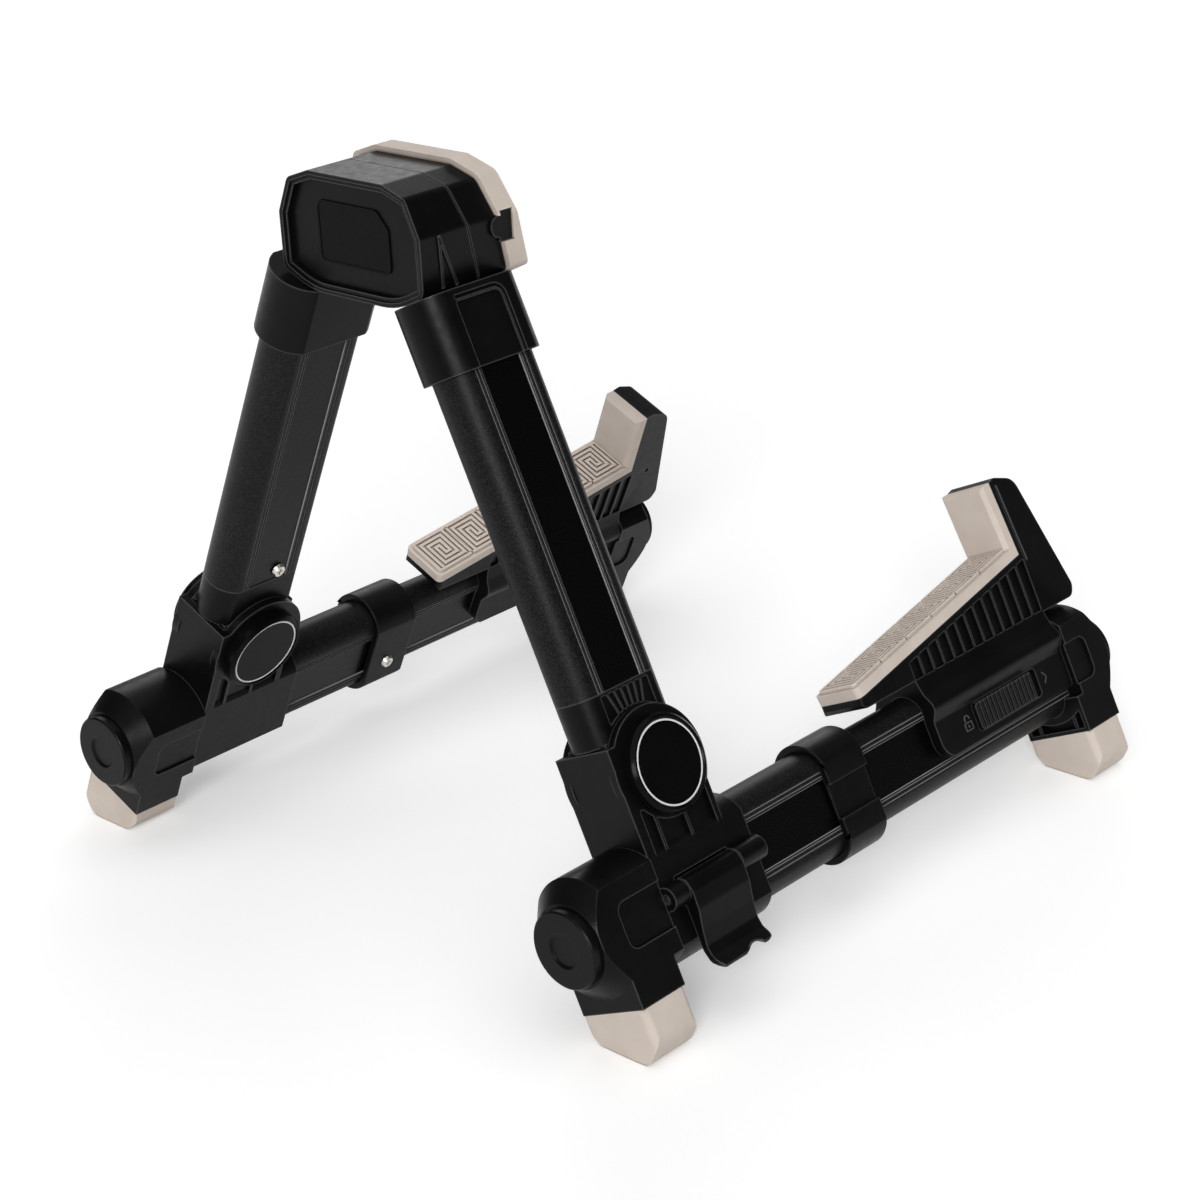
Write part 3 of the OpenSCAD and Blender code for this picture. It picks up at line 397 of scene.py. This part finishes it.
EDGE_MM = {
    "cradle_pad": 0.35,
    "head_pad": 0.6,
    "rear_foot": 1.0,
    "front_foot": 1.0,
    "cradle": 0.7,
    "head_rear_shell": 0.4,
    "head_front_shell": 0.4,
    "top_collar": 0.5,
    "mid_collar": 0.4,
    "knuckle_bracket": 0.4,
    "upright_plug": 0.4,
    "rear_end_cap": 0.5,
    "front_end_cap": 0.5,
    "lock_lever": 0.35,
    "lock_slider": 0.2,
    "outer_cap": 0.3,
    "inner_cap": 0.3,
    "head_label_plate": 0.15,
    "extension_tube": 0.15,
    "base_tube": 0.15,
    "upright_tube": 0.15,
}
SCREW_EDGE_MM = 0.08


def own_name(node):
    """A node's name without its side."""
    for side in SIDES:
        if node.startswith(side + "_"):
            return node[len(side) + 1:]
    return node


def round_edges(piece, width_mm, segments=2):
    """Rounds the piece's sharp edges without touching its mesh."""
    weld = piece.modifiers.new("weld", "WELD")
    weld.merge_threshold = 0.002 * MM
    bevel = piece.modifiers.new("edges", "BEVEL")
    bevel.width = width_mm * MM
    bevel.segments = segments
    bevel.limit_method = "ANGLE"
    bevel.angle_limit = math.radians(28)
    bevel.miter_outer = "MITER_ARC"
    bevel.use_clamp_overlap = True
    even = piece.modifiers.new("normals", "WEIGHTED_NORMAL")
    even.keep_sharp = False


slots = {}
for part in frame["record"]["subparts"]:
    slots[part["node"]] = part["material_slot"]

for node, piece in frame["nodes"].items():
    part_name = own_name(node)
    finish = tube_finishes.get(part_name) or finishes[slots[node]]
    piece.data.materials.clear()
    piece.data.materials.append(finish)
    round_edges(piece, EDGE_MM.get(part_name, SCREW_EDGE_MM))


# White rings printed on the round caps


def ring_mesh(radius, width, height, steps=96):
    """A flat ring about the n axis, standing on n = 0, with its edges drawn in."""
    data = bmesh.new()
    half = width / 2
    section = ((-half, 0), (-half * 0.8, height), (half * 0.8, height), (half, 0))
    rings = []
    for step in range(steps):
        angle = math.tau * step / steps
        ring = []
        for across, out in section:
            reach = radius + across
            point = (out, reach * math.cos(angle), reach * math.sin(angle))
            ring.append(data.verts.new(Vector(point) * MM))
        rings.append(ring)
    for step in range(steps):
        here, there = rings[step], rings[(step + 1) % steps]
        for i in range(len(section)):
            j = (i + 1) % len(section)
            data.faces.new((here[i], here[j], there[j], there[i]))
    return data


for side in SIDES:
    for face, sign in (("outer", 1), ("inner", -1)):
        place = leg_matrix(side) @ Matrix.Translation((sign * CAP_FACE_N * MM, 0, KNUCKLE_U * MM))
        if sign < 0:
            place = place @ Matrix.Diagonal((-1, 1, 1, 1))
        ring = add_mesh(f"{side}_{face}_cap_ring", ring_mesh(RING_R, RING_W, RING_H), place)
        ring.data.materials.append(paint)
        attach(ring, f"{side}_knuckle")


# Raised marks on the cradles' outer side: a padlock and an arrow by the grip, a rim on the lip


def ridge_mesh(lines, width, height):
    """A low ridge along each line of points (t, u) in mm, on the plane n = 0."""
    data = bmesh.new()
    for line in lines:
        rings = []
        for i, point in enumerate(line):
            last, following = line[max(i - 1, 0)], line[min(i + 1, len(line) - 1)]
            way = (Vector(following) - Vector(last)).normalized()
            across = Vector((-way.y, way.x))
            ring = []
            for side_step, out in ((-1, 0), (-0.6, height), (0.6, height), (1, 0)):
                t, u = Vector(point) + across * side_step * width / 2
                ring.append(data.verts.new(Vector((out, t, u)) * MM))
            rings.append(ring)
        for here, there in zip(rings, rings[1:]):
            for i in range(4):
                j = (i + 1) % 4
                data.faces.new((here[i], here[j], there[j], there[i]))
        data.faces.new(rings[0])
        data.faces.new(list(reversed(rings[-1])))
    return data


def arc(centre, radius, start, end, steps=10):
    points = []
    for step in range(steps + 1):
        angle = math.radians(start + (end - start) * step / steps)
        points.append((centre[0] + radius * math.cos(angle), centre[1] + radius * math.sin(angle)))
    return points


def padlock_lines():
    """An open padlock: its body, its shackle and its keyhole."""
    body = [(-1.7, -0.2), (1.7, -0.2), (1.7, -2.6), (-1.7, -2.6), (-1.7, -0.2)]
    shackle = [(-1.1, 0.3)] + arc((0, 1.0), 1.1, 180, 0) + [(1.1, 0.8)]
    return [body, shackle, [(0, -1.0), (0, -1.8)]]


ARROW_LINES = [[(-0.7, 1.9), (0.9, 0), (-0.7, -1.9)]]

for side in SIDES:
    for sign, lines, t in (("padlock", padlock_lines(), PADLOCK_T), ("arrow", ARROW_LINES, ARROW_T)):
        place = leg_matrix(side) @ Matrix.Translation(Vector((FLAP_N, t, SIGN_U)) * MM)
        mark = add_mesh(f"{side}_{sign}_sign", ridge_mesh(lines, SIGN_W, SIGN_H), place, smooth=False)
        mark.data.materials.append(plastic)
        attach(mark, f"{side}_cradle")
    place = leg_matrix(side) @ Matrix.Translation((LIP_N * MM, 0, 0))
    rim = add_mesh(f"{side}_lip_rim", ridge_mesh([[RIM_TOP, RIM_FOOT]], RIM_W, RIM_H), place, smooth=False)
    rim.data.materials.append(plastic)
    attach(rim, f"{side}_cradle")


# Stage: floor, light and camera


def stage_material(name, colour, glow):
    """Pale matt ground with faint cloudiness, a little whiter where it is seen or reflected."""
    m = Nodes(name)
    cloud = m.span(m.noise(160, detail=2), 0.3, 0.7)
    shade = m.blend(cloud, colour, tuple(c * FLOOR_CLOUD for c in colour))
    path = m.tree.nodes.new("ShaderNodeLightPath").outputs
    seen = m.math("MAXIMUM", path["Is Glossy Ray"], path["Is Transmission Ray"])
    seen = m.math("MAXIMUM", seen, path["Is Camera Ray"])
    return m.shade(
        Base_Color=shade,
        Roughness=0.9,
        Specular_IOR_Level=0.1,
        Emission_Color=(1, 1, 1),
        Emission_Strength=m.math("MULTIPLY", seen, glow),
    )


def floor_plane(half):
    data = bmesh.new()
    corners = ((-half, -half), (half, -half), (half, half), (-half, half))
    data.faces.new([data.verts.new((x, y, 0)) for x, y in corners])
    return data


floor = add_mesh("floor", floor_plane(FLOOR_HALF), smooth=False)
floor.data.materials.append(stage_material("pale_floor", FLOOR, FLOOR_GLOW))


def soft_lamp(name, strength, angle, direction):
    """A round softbox at infinity, so that the floor is evenly lit; direction points towards it."""
    lamp = bpy.data.lights.new(name, "SUN")
    lamp.energy = strength
    lamp.angle = math.radians(angle)
    holder = bpy.data.objects.new(name, lamp)
    holder.rotation_euler = (-Vector(direction)).to_track_quat("-Z", "Y").to_euler()
    bpy.context.scene.collection.objects.link(holder)


def plain_world(strength):
    """Even grey light all round; the floor fills the view."""
    world = bpy.data.worlds.new("studio")
    bpy.context.scene.world = world
    world.use_nodes = True
    background = world.node_tree.nodes["Background"]
    background.inputs["Color"].default_value = (1, 1, 1, 1)
    background.inputs["Strength"].default_value = strength


plain_world(WORLD_STRENGTH)
for lamp_name, (strength, width, direction) in LAMPS.items():
    soft_lamp(lamp_name, strength, width, direction)


def camera_axes(direction, roll):
    """Axes of a camera looking back along direction, turned by roll degrees."""
    back = Vector(direction).normalized()
    right = (-back).cross(Vector((0, 0, 1))).normalized()
    up = right.cross(-back)
    c, s = math.cos(math.radians(roll)), math.sin(math.radians(roll))
    return right * c + up * s, up * c - right * s, back


x_axis, y_axis, z_axis = camera_axes(CAMERA_FROM, CAMERA_ROLL)
lens = bpy.data.cameras.new("camera")
lens.lens = CAMERA_LENS
lens.sensor_width = SENSOR
camera = bpy.data.objects.new("camera", lens)
turn = Matrix((x_axis, y_axis, z_axis)).transposed().to_4x4()
turn.translation = Vector(CAMERA_TARGET) + z_axis * CAMERA_DISTANCE
camera.matrix_world = turn
bpy.context.scene.collection.objects.link(camera)
bpy.context.scene.camera = camera
bpy.context.scene.view_settings.view_transform = "Standard"
